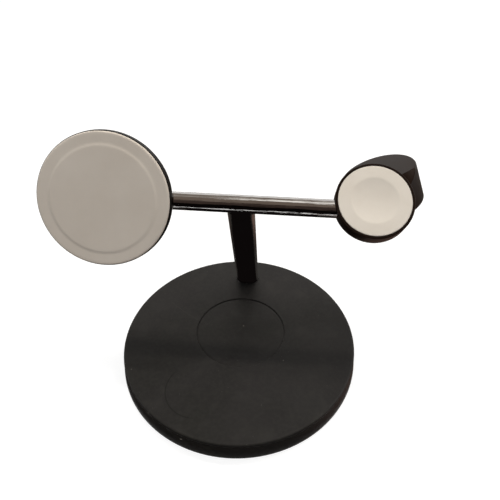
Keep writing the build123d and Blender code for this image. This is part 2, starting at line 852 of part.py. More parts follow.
# Watch board, with a tab towards the bar where its lead is soldered
with BuildPart() as watch_board:
    with BuildSketch(watch_plane.offset(-watch_board_front)):
        Circle(watch_board_radius)
        with Locations((0, -watch_rise)):
            Rectangle(watch_tab_reach, watch_tab_width, align=(Align.MAX, Align.CENTER))
    extrude(amount=-watch_board_thickness)
save(watch_board, "watch_board")

# Watch lid: closes the drum's underside
lid_plane = drum_plane.offset(-drum_height)
with BuildPart() as watch_lid:
    with BuildSketch(lid_plane):
        Circle(drum_cavity_radius - slip)
        with Locations((lid_screw_x, lid_screw_y), (-lid_screw_x, lid_screw_y)):
            Circle(screw_radius + slip, mode=Mode.SUBTRACT)
    extrude(amount=lid_thickness)
    with BuildSketch(lid_plane):
        with Locations((lid_screw_x, lid_screw_y), (-lid_screw_x, lid_screw_y)):
            Circle(screw_head_radius + slip)
    extrude(amount=screw_head_height, mode=Mode.SUBTRACT)
save(watch_lid, "watch_lid")

# Watch lid's screws, sunk in the lid
with BuildPart() as watch_screws:
    with BuildSketch(lid_plane):
        with Locations((lid_screw_x, lid_screw_y), (-lid_screw_x, lid_screw_y)):
            Circle(screw_head_radius)
    extrude(amount=screw_head_height)
    with BuildSketch(lid_plane):
        with Locations((lid_screw_x, lid_screw_y), (-lid_screw_x, lid_screw_y)):
            Circle(screw_radius)
    extrude(amount=screw_length)
save(watch_screws, "watch_screws")


def lead_tube(side, end_x):
    """A lead from its connector in the base, up the stem and along the bar to a head."""
    with BuildPart() as tube:
        with BuildLine() as route:
            FilletPolyline(
                (side * (connector_x - connector_width / 2), lead_y, lead_z),
                (side * lead_set_off, lead_y, lead_z),
                (side * lead_set_off, bar_y, bar_height),
                (end_x, bar_y, bar_height),
                radius=lead_bend_radius,
            )
        with BuildSketch(Plane(origin=route.line @ 0, z_dir=route.line % 0)):
            Circle(lead_diameter / 2)
        sweep()
    return tube


# The two leads
phone_lead = lead_tube(-1, phone_x + phone_connector_length)
save(phone_lead, "phone_lead")
watch_lead = lead_tube(1, watch_x - watch_tab_reach)
save(watch_lead, "watch_lead")
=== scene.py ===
# %% [markdown]
# # A three in one wireless charger
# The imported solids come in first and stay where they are. Every shell that the eye meets is then modelled
# again with finer, smooth faces, and every piece, inside and out, gets a finish of its own.

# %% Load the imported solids
from math import cos, pi, radians, sin, sqrt, tau

import bmesh
import bpy
from mathutils import Matrix, Vector


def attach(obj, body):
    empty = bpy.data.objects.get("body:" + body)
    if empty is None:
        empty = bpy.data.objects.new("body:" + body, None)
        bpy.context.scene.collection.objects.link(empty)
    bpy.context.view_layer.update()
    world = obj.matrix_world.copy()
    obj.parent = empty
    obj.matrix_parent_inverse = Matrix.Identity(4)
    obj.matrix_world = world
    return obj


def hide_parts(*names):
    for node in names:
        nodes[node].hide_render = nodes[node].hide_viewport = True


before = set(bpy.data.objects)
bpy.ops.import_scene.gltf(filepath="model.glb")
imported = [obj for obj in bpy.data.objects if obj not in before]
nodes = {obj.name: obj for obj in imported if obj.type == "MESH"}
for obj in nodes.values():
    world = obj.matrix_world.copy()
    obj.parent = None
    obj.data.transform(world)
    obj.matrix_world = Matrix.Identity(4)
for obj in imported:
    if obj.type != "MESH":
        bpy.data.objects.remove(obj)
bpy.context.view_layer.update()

print("solids loaded:", len(nodes))

# %% [markdown]
# ## The camera
# The picture was taken from above and a little to the right. The lens, the place and the slight roll come
# from matching the rims of the base and the two discs. The shift is only the small part that framing needs.

# %% Camera
MM = 0.001
PICTURE = 500
FOCAL_PIXELS = 485.0
PICTURE_CENTRE = (260.84, 233.15)
EYE = Vector((18.42, -154.64, 200.18)) * MM
YAW, PITCH, ROLL = radians(-3.33), radians(38.65), radians(1.06)

forward = Vector((sin(YAW) * cos(PITCH), cos(YAW) * cos(PITCH), -sin(PITCH)))
level_right = Vector((cos(YAW), -sin(YAW), 0))
level_up = level_right.cross(forward)
right = level_right * cos(ROLL) + level_up * sin(ROLL)
up = level_up * cos(ROLL) - level_right * sin(ROLL)

camera_data = bpy.data.cameras.new("camera")
camera_data.sensor_width = 36
camera_data.lens = 36 * FOCAL_PIXELS / PICTURE
camera_data.shift_x = (PICTURE / 2 - PICTURE_CENTRE[0]) / PICTURE
camera_data.shift_y = (PICTURE_CENTRE[1] - PICTURE / 2) / PICTURE
camera_data.clip_start = 0.01
camera = bpy.data.objects.new("camera", camera_data)
bpy.context.scene.collection.objects.link(camera)
camera.matrix_world = Matrix.Translation(EYE) @ Matrix((right, up, -forward)).transposed().to_4x4()
bpy.context.scene.camera = camera
print("camera lens in mm:", round(camera_data.lens, 2))

# %% [markdown]
# ## Colours and nodes
# Colours are written as hex values, as a colour picker shows them, and turned to linear light in one place.
# One small function adds a shader node with its settings and its links, which keeps each finish readable.


# %% Colour and node helpers
def linear(hex_colour):
    """A hex colour as linear red, green, blue and alpha."""
    parts = [int(hex_colour[place:place + 2], 16) / 255 for place in (1, 3, 5)]
    return [p / 12.92 if p <= 0.04045 else ((p + 0.055) / 1.055) ** 2.4 for p in parts] + [1.0]


def add_node(tree, kind, settings=None, links=None):
    """Add a shader node, set its fields and sockets, and link outputs into it."""
    node = tree.nodes.new(kind)
    for key, value in (settings or {}).items():
        if isinstance(key, int) or key in node.inputs:
            node.inputs[key].default_value = value
        else:
            setattr(node, key, value)
    for key, output in (links or {}).items():
        tree.links.new(output, node.inputs[key])
    return node


def per_mm(size):
    """Texture scale whose features are about this many millimetres across."""
    return 1 / (size * MM)


# %% [markdown]
# ## The studio
# A weak even light comes from all round. The world is white to the eye and to mirrors, and gives less light
# to matt surfaces, as a room larger than the stand does. A function that tells the two kinds of ray apart
# serves the floor too.

# %% World
AMBIENT = 0.42
world = bpy.data.worlds.new("white_room")
bpy.context.scene.world = world
world.use_nodes = True
room = world.node_tree
room.nodes.clear()


def seen_directly(tree):
    """One for rays from the eye, from mirrors and through clear pieces, and nought for the rest."""
    ray = add_node(tree, "ShaderNodeLightPath")
    share = ray.outputs["Is Camera Ray"]
    for kind in ("Is Glossy Ray", "Is Transmission Ray"):
        larger = add_node(tree, "ShaderNodeMath", {"operation": "MAXIMUM"}, {0: share, 1: ray.outputs[kind]})
        share = larger.outputs[0]
    return share


level = add_node(room, "ShaderNodeMapRange", {"To Min": AMBIENT, "To Max": 1.0},
                 {"Value": seen_directly(room)})
sky = add_node(room, "ShaderNodeBackground", {"Color": linear("#FFFFFF")}, {"Strength": level.outputs[0]})
add_node(room, "ShaderNodeOutputWorld", links={"Surface": sky.outputs[0]})
print("even light:", AMBIENT)

# %% [markdown]
# One long strip lamp hangs high up, a little behind and to the right. It lies along the bar, so the bar's
# shadow on the base stays fairly crisp while the shadows of the stem and the heads are smeared out
# sideways. A square lamp would draw all of them alike.

# %% Strip lamp
KEY_WATTS = 5.7
KEY_LEAN = radians(15)
KEY_AWAY = 0.9
KEY_RIGHT = 0.2
KEY_LONG, KEY_WIDE = 1.2, 0.04
key_data = bpy.data.lights.new("strip_lamp", "AREA")
key_data.shape = "RECTANGLE"
key_data.size, key_data.size_y = KEY_LONG, KEY_WIDE
key_data.energy = KEY_WATTS
key_data.color = linear("#FFF6EA")[:3]
key = bpy.data.objects.new("strip_lamp", key_data)
bpy.context.scene.collection.objects.link(key)
key.matrix_world = Matrix.Rotation(-KEY_LEAN, 4, "X") @ Matrix.Translation((KEY_RIGHT, 0, KEY_AWAY))
key.visible_glossy = False
print("strip lamp in metres:", KEY_LONG, "by", KEY_WIDE)

# %% [markdown]
# The floor is a plain pale sheet. It glows a little by itself, so it stays white in the picture, and the
# stand's shadow on it stays faint.

# %% Floor
FLOOR_SIDE = 8.0
FLOOR_GLOW = 0.86
bpy.ops.object.select_all(action="DESELECT")
bpy.ops.mesh.primitive_plane_add(size=FLOOR_SIDE)
floor = bpy.context.object
floor.name = "floor"
paper = bpy.data.materials.new("paper_floor_matt")
paper.use_nodes = True
sheet = paper.node_tree
sheet.nodes.clear()
glow = add_node(sheet, "ShaderNodeEmission", {"Color": linear("#FFFFFF"), "Strength": FLOOR_GLOW})
shade = add_node(sheet, "ShaderNodeBsdfDiffuse", {"Color": linear("#9A9A9A")})
white = add_node(sheet, "ShaderNodeAddShader", links={0: glow.outputs[0], 1: shade.outputs[0]})
dim = add_node(sheet, "ShaderNodeBsdfDiffuse", {"Color": linear("#8A7F76")})
floor_mix = add_node(sheet, "ShaderNodeMixShader",
                     links={0: seen_directly(sheet), 1: dim.outputs[0], 2: white.outputs[0]})
add_node(sheet, "ShaderNodeOutputMaterial", links={"Surface": floor_mix.outputs[0]})
floor.data.materials.append(paper)
print("floor side in metres:", FLOOR_SIDE)

# %% [markdown]
# ## Flags for the chrome
# Polished chrome has no colour of its own: it shows the room. Photographers stand cards, called flags,
# round a shiny thing to draw lines on it. Seen across the bar, each card fills a slice of angles, counted
# from the front over the top to the back: dusk in front, brown behind the eye, grey ceiling overhead, with
# the lamp's glow in it, and a pale wall at the back. Only mirrors see the cards, so they neither shade nor
# tint anything else.

# %% Flags
BAR_CENTRE = Vector((0, 10.6, 82.8))
ROOM_HALF = 3.0


def mirror_only(card, name, colour):
    """Let nothing but reflections see a card of one flat tone, and return the nodes of that tone."""
    card.name = name
    card.visible_camera = False
    card.visible_diffuse = False
    card.visible_shadow = False
    card.visible_transmission = False
    paint = bpy.data.materials.new(name + "_card")
    paint.use_nodes = True
    paint.node_tree.nodes.clear()
    tone = add_node(paint.node_tree, "ShaderNodeEmission", {"Color": linear(colour)})
    out = add_node(paint.node_tree, "ShaderNodeOutputMaterial", links={"Surface": tone.outputs[0]})
    card.data.materials.append(paint)
    return paint.node_tree, tone, out


def stand_flag(name, colour, corner, along, across):
    """A card, given by a corner and two edges."""
    bpy.ops.object.select_all(action="DESELECT")
    bpy.ops.mesh.primitive_plane_add(size=1)
    card = bpy.context.object
    edges = Matrix((along, across, along.cross(across).normalized())).transposed().to_4x4()
    card.matrix_world = Matrix.Translation(corner + (along + across) / 2) @ edges
    return mirror_only(card, name, colour)


def round_bar(turn, away, side):
    """A point round the bar: degrees from the front upwards, then distance and side in metres."""
    return BAR_CENTRE * MM + Vector((side, -cos(radians(turn)) * away, sin(radians(turn)) * away))


for name, colour, low, high, away, left, right_end in (
    ("dusk_flag", "#060505", -10, 14, 0.9, -ROOM_HALF, ROOM_HALF),
    ("brown_flag", "#3A302B", 12, 50, 1.0, -ROOM_HALF, ROOM_HALF),
    ("grey_flag", "#6E6259", 49, 88, 1.2, -ROOM_HALF, ROOM_HALF),
    ("ceiling_flag", "#7E746C", 87, 142, 1.4, -ROOM_HALF, ROOM_HALF),
    ("back_flag", "#E4E2DF", 141, 178, 1.5, -ROOM_HALF, ROOM_HALF),
    ("glow_left", "#A39D96", 96, 109, 1.0, -ROOM_HALF, -0.1),
    ("glow_right", "#FFFBF4", 92, 114, 1.0, -0.1, ROOM_HALF),
):
    first, last = round_bar(low, away, left), round_bar(high, away, left)
    stand_flag(name, colour, first, Vector((right_end - left, 0, 0)), last - first)
print("flags stand round the bar")

# %% [markdown]
# A dark table goes under the stand in the same way, as a ring round its base: black wood in front, warmer
# to the right, greyer to the left and behind.

# %% Table
TABLE_Z, TABLE_HOLE, TABLE_EDGE = 0.4, 57.6, 900
MIDDLE_WOOD = "#302A27"
bpy.ops.object.select_all(action="DESELECT")
bpy.ops.mesh.primitive_circle_add(vertices=96, radius=TABLE_HOLE * MM, location=(0, 0, TABLE_Z * MM))
table = bpy.context.object
bpy.ops.object.mode_set(mode="EDIT")
bpy.ops.mesh.select_all(action="SELECT")
bpy.ops.mesh.extrude_edges_move()
bpy.ops.transform.resize(value=(TABLE_EDGE / TABLE_HOLE, TABLE_EDGE / TABLE_HOLE, 1))
bpy.ops.object.mode_set(mode="OBJECT")
wood, wood_tone, _ = mirror_only(table, "table", MIDDLE_WOOD)
wood_place = add_node(wood, "ShaderNodeTexCoord").outputs["Object"]
wood_spot = add_node(wood, "ShaderNodeSeparateXYZ", links={0: wood_place})
middle = add_node(wood, "ShaderNodeRGB")
middle.outputs[0].default_value = linear(MIDDLE_WOOD)
stain = middle.outputs[0]
for axis, first, last, colour in (
    (0, 35, 65, "#80675D"),
    (0, -40, -70, "#443F3B"),
    (1, 70, 110, "#6E665F"),
    (1, -65, -90, "#0A0706"),
):
    share = add_node(wood, "ShaderNodeMapRange", {"From Min": first * MM, "From Max": last * MM},
                     {"Value": wood_spot.outputs[axis]})
    stain = add_node(wood, "ShaderNodeMix", {"data_type": "RGBA", 7: linear(colour)},
                     {0: share.outputs[0], 6: stain}).outputs[2]
wood.links.new(stain, wood_tone.inputs["Color"])
print("table ring in mm:", TABLE_HOLE, "to", TABLE_EDGE)

# %% [markdown]
# Two more cards are clear from below, so the gloss of the base doesn't meet them: a narrow white one, which
# draws the fine bright line near the bar's lower edge, and a black one lying on the base in front of the
# stem,
# which is painted shade: the stem mirrors it in place of the base.

# %% One-way cards
LINE_TURNS = (-41.5, -47.5)
LINE_AWAY, LINE_LEFT, LINE_LONG = 0.063, -0.045, 0.1
BASE_FLAG_CORNER = Vector((-38, -40, 10.5)) * MM
BASE_FLAG_WIDE, BASE_FLAG_DEEP = 76 * MM, 80 * MM


def clear_from_below(tree, tone, out):
    """Leave a card to be seen from its front only."""
    behind = add_node(tree, "ShaderNodeNewGeometry").outputs["Backfacing"]
    clear = add_node(tree, "ShaderNodeBsdfTransparent")
    one_way = add_node(tree, "ShaderNodeMixShader",
                       links={0: behind, 1: tone.outputs[0], 2: clear.outputs[0]})
    tree.links.new(one_way.outputs[0], out.inputs["Surface"])


line_top, line_low = (round_bar(turn, LINE_AWAY, LINE_LEFT) for turn in LINE_TURNS)
clear_from_below(*stand_flag("line_flag", "#FFFFFF", line_top, Vector((LINE_LONG, 0, 0)),
                             line_low - line_top))
# a black sheet lying on the base in front of the stem: painted shade for the stem's chrome to mirror
clear_from_below(*stand_flag("stem_shade_flag", "#0E0B0B", BASE_FLAG_CORNER, Vector((BASE_FLAG_WIDE, 0, 0)),
                             Vector((0, BASE_FLAG_DEEP, 0))))
print("one-way cards: 2")

# %% [markdown]
# ## Turned pieces
# Nearly every shell of this stand is round, so it is drawn as half of its section and spun, as on a lathe.
# The drawing starts from one vertex and is extruded from point to point. A corner that is soft on the real
# piece is rounded by a vertex bevel before the spin, which keeps all rings even. Doubles are merged and the
# normals turned outwards after it.

# %% Turning helpers
TURN_STEPS = 128
CORNER_STEPS = 5
WELD = 1e-6


def alone(piece):
    """Make one object the only selected one."""
    bpy.ops.object.select_all(action="DESELECT")
    piece.select_set(True)
    bpy.context.view_layer.objects.active = piece


def select_points(piece, wanted):
    """In edit mode, select the vertices that a test picks by their place in millimetres."""
    bpy.ops.mesh.select_all(action="DESELECT")
    bpy.ops.mesh.select_mode(type="VERT")
    mesh = bmesh.from_edit_mesh(piece.data)
    for vertex in mesh.verts:
        vertex.select_set(bool(wanted(vertex.co / MM)))
    mesh.select_flush_mode()
    bmesh.update_edit_mesh(piece.data)


def close_mesh():
    """Merge doubles and turn the normals of the piece in edit mode outwards, then leave edit mode."""
    bpy.ops.mesh.select_all(action="SELECT")
    bpy.ops.mesh.remove_doubles(threshold=WELD)
    bpy.ops.mesh.normals_make_consistent(inside=False)
    bpy.ops.object.mode_set(mode="OBJECT")


def turned(name, outline, steps=TURN_STEPS, centre=(0, 0)):
    """Spin half a section, given as (radius, height, corner radius) in millimetres, round an upright axis."""
    bpy.ops.object.select_all(action="DESELECT")
    bpy.ops.mesh.primitive_plane_add(size=MM)
    piece = bpy.context.object
    piece.name = piece.data.name = name
    bpy.ops.object.mode_set(mode="EDIT")
    bpy.ops.mesh.select_all(action="SELECT")
    bpy.ops.mesh.merge(type="CENTER")
    places = [Vector((centre[0] + point[0], centre[1], point[1])) for point in outline]
    bpy.ops.transform.translate(value=places[0] * MM)
    for start, end in zip(places, places[1:]):
        bpy.ops.mesh.extrude_vertices_move(TRANSFORM_OT_translate={"value": (end - start) * MM})
    for place, point in zip(places, outline):
        if point[2]:
            select_points(piece, lambda spot: (spot - place).length < 1e-3)
            bpy.ops.mesh.bevel(offset=point[2] * MM, segments=CORNER_STEPS, affect="VERTICES")
    bpy.ops.mesh.select_all(action="SELECT")
    bpy.ops.mesh.spin(steps=steps, angle=tau, center=(centre[0] * MM, centre[1] * MM, 0), axis=(0, 0, 1))
    close_mesh()
    return piece


def cylinder(name, radius, first, last, steps=64):
    """A plain round rod or tool between two heights."""
    return turned(name, [(0, first, 0), (radius, first, 0), (radius, last, 0), (0, last, 0)], steps)


def put(piece, matrix):
    """Set a piece in its place and keep that place in its mesh."""
    alone(piece)
    piece.matrix_world = matrix
    bpy.ops.object.transform_apply(location=True, rotation=True, scale=True)
    return piece


def combine(piece, tool, how):
    """Join or cut a piece with a tool shape, which is used up."""
    alone(piece)
    bpy.ops.object.modifier_add(type="BOOLEAN")
    cutter = piece.modifiers[-1]
    cutter.operation = how
    cutter.solver = "EXACT"
    cutter.object = tool
    bpy.ops.object.modifier_apply(modifier=cutter.name)
    bpy.data.objects.remove(tool)
    return piece


def hand_over(piece, slot, *replaced, angle=32):
    """Smooth a finished piece, let it ride on the body and stand for its solids."""
    alone(piece)
    bpy.ops.object.shade_smooth_by_angle(angle=radians(angle))
    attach(piece, "root")
    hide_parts(*replaced)
    print(piece.name, "faces:", len(piece.data.polygons))
    return piece


# %% [markdown]
# ## The foot and the side of the base
# A silicone foot grips the table and hides the screws. It is a plain plate, turned like the rest, with a
# soft lower edge.

# %% Foot
FOOT, FOOT_RADIUS = 0.8, 54.0
foot = turned("base_foot", [(0, 0, 0), (FOOT_RADIUS, 0, 0.25), (FOOT_RADIUS, FOOT, 0), (0, FOOT, 0)])
hand_over(foot, "silicone_black", "foot_pad")

# %% [markdown]
# The side is a shallow black tray with a slightly leaning wall: its lower edge is broken by a small chamfer
# and its rim stops just under the top plate, which leaves the dark seam line. The seats of the screws, the
# inlet at the back and the tiny light hole in front are cut with turned tools.

# %% Side
BASE_RADIUS = 57.0
FLOOR_TOP = 2.2
WALL_LEAN = 1.0 / 9.2
WALL_MIDDLE = 5.0
CHAMFER_FOOT, CHAMFER_TOP = 56.4, 1.4
RIM_TOP = 8.35
BASE_WALL = 1.8
BOSS_CIRCLE = 43.0
BOSS_ANGLES = (40, 140, 220, 320)
SCREW_HEAD, SCREW_SHANK = 2.3, 1.2
SEAT_FROM, SEAT_TOP, SEAT_TO = 0.5, 1.8, 2.6
INLET_Z, INLET_ROUND = 5.45, 3.0
LAMP_Z, LAMP_ROUND = 6.45, 0.6
LAMP_TURN = radians(20)
WALL_FROM, WALL_TO = 50, 60


def wall_at(height):
    """Radius of the leaning wall at a height."""
    return BASE_RADIUS - WALL_LEAN * (height - FOOT)


def boss_place(angle):
    """Where one of the four screws of the base stands."""
    return Matrix.Translation(Vector((cos(radians(angle)), sin(radians(angle)), 0)) * BOSS_CIRCLE * MM)


INNER = wall_at(RIM_TOP) - BASE_WALL
side = turned("base_side", [
    (0, FOOT, 0), (CHAMFER_FOOT, FOOT, 0.25), (wall_at(CHAMFER_TOP), CHAMFER_TOP, 0.25),
    (wall_at(WALL_MIDDLE), WALL_MIDDLE, 0), (wall_at(RIM_TOP), RIM_TOP, 0.2), (INNER, RIM_TOP, 0.2),
    (INNER, FLOOR_TOP, 0.3), (0, FLOOR_TOP, 0)])
for angle in BOSS_ANGLES:
    seat = turned("screw_seat", [
        (0, SEAT_FROM, 0), (SCREW_HEAD, SEAT_FROM, 0), (SCREW_HEAD, SEAT_TOP, 0), (SCREW_SHANK, SEAT_TOP, 0),
        (SCREW_SHANK, SEAT_TO, 0), (0, SEAT_TO, 0)], 32)
    combine(side, put(seat, boss_place(angle)), "DIFFERENCE")
inlet_hole = cylinder("inlet_hole", INLET_ROUND, WALL_FROM, WALL_TO)
put(inlet_hole, Matrix.Translation((0, 0, INLET_Z * MM)) @ Matrix.Rotation(-pi / 2, 4, "X"))
combine(side, inlet_hole, "DIFFERENCE")
lamp_hole = cylinder("lamp_hole", LAMP_ROUND, WALL_FROM, WALL_TO, 32)
put(lamp_hole, Matrix.Translation((0, 0, LAMP_Z * MM)) @ Matrix.Rotation(-LAMP_TURN, 4, "Z")
    @ Matrix.Rotation(pi / 2, 4, "X"))
combine(side, lamp_hole, "DIFFERENCE")
hand_over(side, "body_black", "base_shell")

# %% [markdown]
# ## The line of the stem
# The stem leans forward from the base to the bar and has one section all the way: a circle whose halves are
# pulled apart. The same rod, a little wider, cuts the slot in the top plate, and a thinner one hollows the
# stem.

# %% Line and section of the stem
BASE_TOP = 10.0
STEM_FOOT = Vector((0, 42, BASE_TOP))
STEM_LENGTH = (BAR_CENTRE - STEM_FOOT).length
stem_axis = (BAR_CENTRE - STEM_FOOT).normalized()
stem_side = stem_axis.cross(Vector((1, 0, 0)))
STEM_PLACE = Matrix.Translation(STEM_FOOT * MM) @ Matrix(
    ((1, 0, 0), stem_side, stem_axis)).transposed().to_4x4()
STEM_ROUND = 3.8
STEM_SHIFT = 2.2


def slot_bar(name, grow, low, high):
    """A rod with the stem's section: a circle whose halves are pulled apart, extruded along the stem."""
    bpy.ops.object.select_all(action="DESELECT")
    bpy.ops.mesh.primitive_circle_add(vertices=64, radius=(STEM_ROUND + grow) * MM, fill_type="NGON",
                                      location=(0, 0, 0))
    piece = bpy.context.object
    piece.name = piece.data.name = name
    bpy.ops.object.mode_set(mode="EDIT")
    for way in (1, -1):
        select_points(piece, lambda spot: spot.x * way > 1e-3)
        bpy.ops.transform.translate(value=(way * STEM_SHIFT * MM, 0, 0))
    bpy.ops.mesh.select_all(action="SELECT")
    bpy.ops.transform.translate(value=(0, 0, low * MM))
    bpy.ops.mesh.extrude_region_move(TRANSFORM_OT_translate={"value": (0, 0, (high - low) * MM)})
    close_mesh()
    return piece


print("stem's length in mm:", round(STEM_LENGTH, 2))

# %% [markdown]
# ## The top of the base
# The top plate carries the shallow recess for an earbud case, which sits a little behind the middle. The
# recess and the rim are turned round two different axes, with as many steps each, and the flat between
# their open rings is bridged. A ring close to each soft edge keeps the flat shading flat, and the floor
# dips a little towards the foot of the recess's wall, which draws its dark line. Bosses and the stem's slot
# follow.

# %% Top plate
PLATE_BOTTOM = 8.5
PLATE_RADIUS = wall_at(PLATE_BOTTOM)
LIP_BOTTOM, LIP_GAP, LIP_INSIDE = 7.0, 0.1, 1.3
RIM_RING = 54.9
RECESS_Y, RECESS_RADIUS, RECESS_FLOOR = 4.0, 22.0, 9.6
DIP_START, DIP_END, DIP_FLOOR = 20.9, 21.85, 9.42
INNER_RING, OUTER_RING = 24.0, 52.0
BOSS_ROUND, BOSS_TOP, BOSS_BORE = 3.0, 8.9, 7.0
SLOT_GAP, SLOT_REACH = 0.1, 12

plate = turned("base_top", [
    (OUTER_RING, BASE_TOP, 0), (RIM_RING, BASE_TOP, 0), (PLATE_RADIUS, BASE_TOP, 0.9),
    (PLATE_RADIUS, PLATE_BOTTOM, 0.15), (INNER - LIP_GAP, PLATE_BOTTOM, 0),
    (INNER - LIP_GAP, LIP_BOTTOM, 0.2), (INNER - LIP_INSIDE, LIP_BOTTOM, 0.2),
    (INNER - LIP_INSIDE, PLATE_BOTTOM, 0), (0, PLATE_BOTTOM, 0)])
recess = turned("recess", [
    (0, RECESS_FLOOR, 0), (DIP_START - 0.7, RECESS_FLOOR, 0), (DIP_START, RECESS_FLOOR, 0.3),
    (DIP_END, DIP_FLOOR, 0.04), (RECESS_RADIUS, BASE_TOP, 0.05), (RECESS_RADIUS + 0.6, BASE_TOP, 0),
    (INNER_RING, BASE_TOP, 0)], centre=(0, RECESS_Y))
alone(recess)
plate.select_set(True)
bpy.context.view_layer.objects.active = plate
bpy.ops.object.join()
bpy.ops.object.mode_set(mode="EDIT")
select_points(plate, lambda spot: abs(spot.z - BASE_TOP) < 1e-3 and (
    abs(Vector((spot.x, spot.y - RECESS_Y)).length - INNER_RING) < 1e-2
    or abs(spot.xy.length - OUTER_RING) < 1e-2))
bpy.ops.mesh.bridge_edge_loops()
close_mesh()
for angle in BOSS_ANGLES:
    boss = turned("boss", [
        (0, BOSS_BORE, 0), (SCREW_SHANK, BOSS_BORE, 0), (SCREW_SHANK, FLOOR_TOP, 0),
        (BOSS_ROUND, FLOOR_TOP, 0), (BOSS_ROUND, BOSS_TOP, 0), (0, BOSS_TOP, 0)], 32)
    combine(plate, put(boss, boss_place(angle)), "UNION")
stem_slot = slot_bar("stem_slot", SLOT_GAP, -SLOT_REACH, SLOT_REACH)
combine(plate, put(stem_slot, STEM_PLACE), "DIFFERENCE")
hand_over(plate, "body_black", "base_cover")

# %% [markdown]
# ## The chrome T
# One plated casting: a round bar and a leaning stem that flows into its underside. The stem is extruded in
# short steps, and near the bar each ring is widened along the bar, so that its sides run out into it in a
# quarter round, as the casting's blend does. The bar gets many rings round it, because chrome shows every
# flat.

# %% Stem
BAR_ROUND = 3.85
STEM_LOW = -8.0
BLEND = 1.6
BLEND_STEPS = 8
BLEND_START = STEM_LENGTH - BAR_ROUND - 3 * BLEND
INTO_BAR = 0.6
RING_STEP = 0.1
FLANGE_LOW, FLANGE_TOP = 4.6, 6.0
FLANGE_MIDDLE = (FLANGE_LOW + FLANGE_TOP) / 2

tee = slot_bar("chrome_tee", 0, STEM_LOW, BLEND_START)
bpy.ops.object.mode_set(mode="EDIT")
select_points(tee, lambda spot: spot.z > BLEND_START - 1)
for _ in range(BLEND_STEPS + 2):
    bpy.ops.mesh.extrude_region_move(TRANSFORM_OT_translate={"value": (0, 0, RING_STEP * MM)})
bpy.ops.object.mode_set(mode="OBJECT")
for vertex in tee.data.vertices:
    ring = round((vertex.co.z / MM - BLEND_START) / RING_STEP)
    if ring < 1:
        continue
    share = min(ring - 1, BLEND_STEPS) / BLEND_STEPS
    height = BLEND * (1 - sin(share * pi / 2)) if ring <= BLEND_STEPS + 1 else -INTO_BAR
    flare = BLEND * (1 - cos(share * pi / 2))
    depth = min(abs(vertex.co.y / MM), BAR_ROUND - 0.02)
    end = vertex.co.x / MM - STEM_SHIFT * (1 if vertex.co.x > 0 else -1)
    lean = end / STEM_ROUND if abs(vertex.co.x / MM) > STEM_SHIFT else 0
    vertex.co.z = (STEM_LENGTH - sqrt(BAR_ROUND ** 2 - depth ** 2) - height) * MM
    vertex.co.x += lean * flare * MM
put(tee, STEM_PLACE)
bpy.ops.object.mode_set(mode="EDIT")
bpy.ops.mesh.select_all(action="SELECT")
bpy.ops.mesh.bisect(plane_co=(0, 0, FLANGE_MIDDLE * MM), plane_no=(0, 0, 1), use_fill=True, clear_inner=True)
close_mesh()
print("stem rings drawn:", BLEND_STEPS + 4)

# %% [markdown]
# The bar ends at the two heads, so their places come next: each faces the user at a tilt of its own, at one
# end of the bar. The outside of the phone head's cup is kept as an outline that can be grown by the width
# of a seam.

# %% Places of the heads
PHONE_X, WATCH_X = -56.0, 55.2
PHONE_TILT, WATCH_TILT = radians(90 - 26), radians(90 - 54)
PHONE_AHEAD = 7.5
WATCH_AHEAD, WATCH_ABOVE = 4.3, 3.2
PUCK_ROUND, PUCK_DEPTH = 16.3, 9
CUP_BACK, CUP_BACK_ROUND = -12.2, 26.2
CUP_BELLY, CUP_BELLY_ROUND = -4.0, 28.3
LIP_TOP, LIP_ROUND = -1.0, 28

phone_normal = Vector((0, -sin(PHONE_TILT), cos(PHONE_TILT)))
watch_normal = Vector((0, -sin(WATCH_TILT), cos(WATCH_TILT)))
watch_up = Vector((0, cos(WATCH_TILT), sin(WATCH_TILT)))
phone_centre = Vector((PHONE_X, BAR_CENTRE.y, BAR_CENTRE.z)) + phone_normal * PHONE_AHEAD
watch_on_bar = Vector((WATCH_X, BAR_CENTRE.y, BAR_CENTRE.z))
watch_centre = watch_on_bar + watch_normal * WATCH_AHEAD + watch_up * WATCH_ABOVE
PHONE_PLACE = Matrix.Translation(phone_centre * MM) @ Matrix.Rotation(PHONE_TILT, 4, "X")
WATCH_PLACE = Matrix.Translation(watch_centre * MM) @ Matrix.Rotation(WATCH_TILT, 4, "X")


def cup_outline(grow):
    """Outside of the phone head's cup, from the back's middle to the lip, grown by an amount."""
    return [(0, CUP_BACK - grow, 0), (CUP_BACK_ROUND + grow, CUP_BACK - grow, 3.0),
            (CUP_BELLY_ROUND + grow, CUP_BELLY, 1.0), (LIP_ROUND + grow, LIP_TOP, 0.1)]


print("heads' middles in mm:", [round(value, 1) for value in (*phone_centre, *watch_centre)])

# %% [markdown]
# The bar is cut to the outlines of the two heads, which leaves the fine seam where it meets them. A thin
# spigot at each end goes on into the head.

# %% Bar and spigots
SEAM = 0.15
BAR_STEPS = 128
RAW_LEFT, RAW_RIGHT = -40, 45
BAR_LEFT, BAR_RIGHT = -32.5, 42.3
SPIGOT_ROUND = 2.0
ALONG_BAR = Matrix.Translation(BAR_CENTRE * MM) @ Matrix.Rotation(pi / 2, 4, "Y")


def rod(name, radius, first, last, steps=64):
    """A plain round rod or tool along the bar."""
    return put(cylinder(name, radius, first, last, steps), ALONG_BAR)


combine(tee, rod("bar", BAR_ROUND, RAW_LEFT, RAW_RIGHT, BAR_STEPS), "UNION")
phone_room = turned("phone_room", cup_outline(SEAM) + [(0, LIP_TOP, 0)])
combine(tee, put(phone_room, PHONE_PLACE), "DIFFERENCE")
watch_room = cylinder("watch_room", PUCK_ROUND + SEAM, -PUCK_DEPTH, PUCK_DEPTH, TURN_STEPS)
combine(tee, put(watch_room, WATCH_PLACE), "DIFFERENCE")
combine(tee, rod("spigots", SPIGOT_ROUND, BAR_LEFT, BAR_RIGHT), "UNION")
print("bar from", BAR_LEFT, "to", BAR_RIGHT, "mm")

# %% [markdown]
# The flange that is screwed down inside the base and the hollow for the two leads are never seen, but they
# make the casting whole.

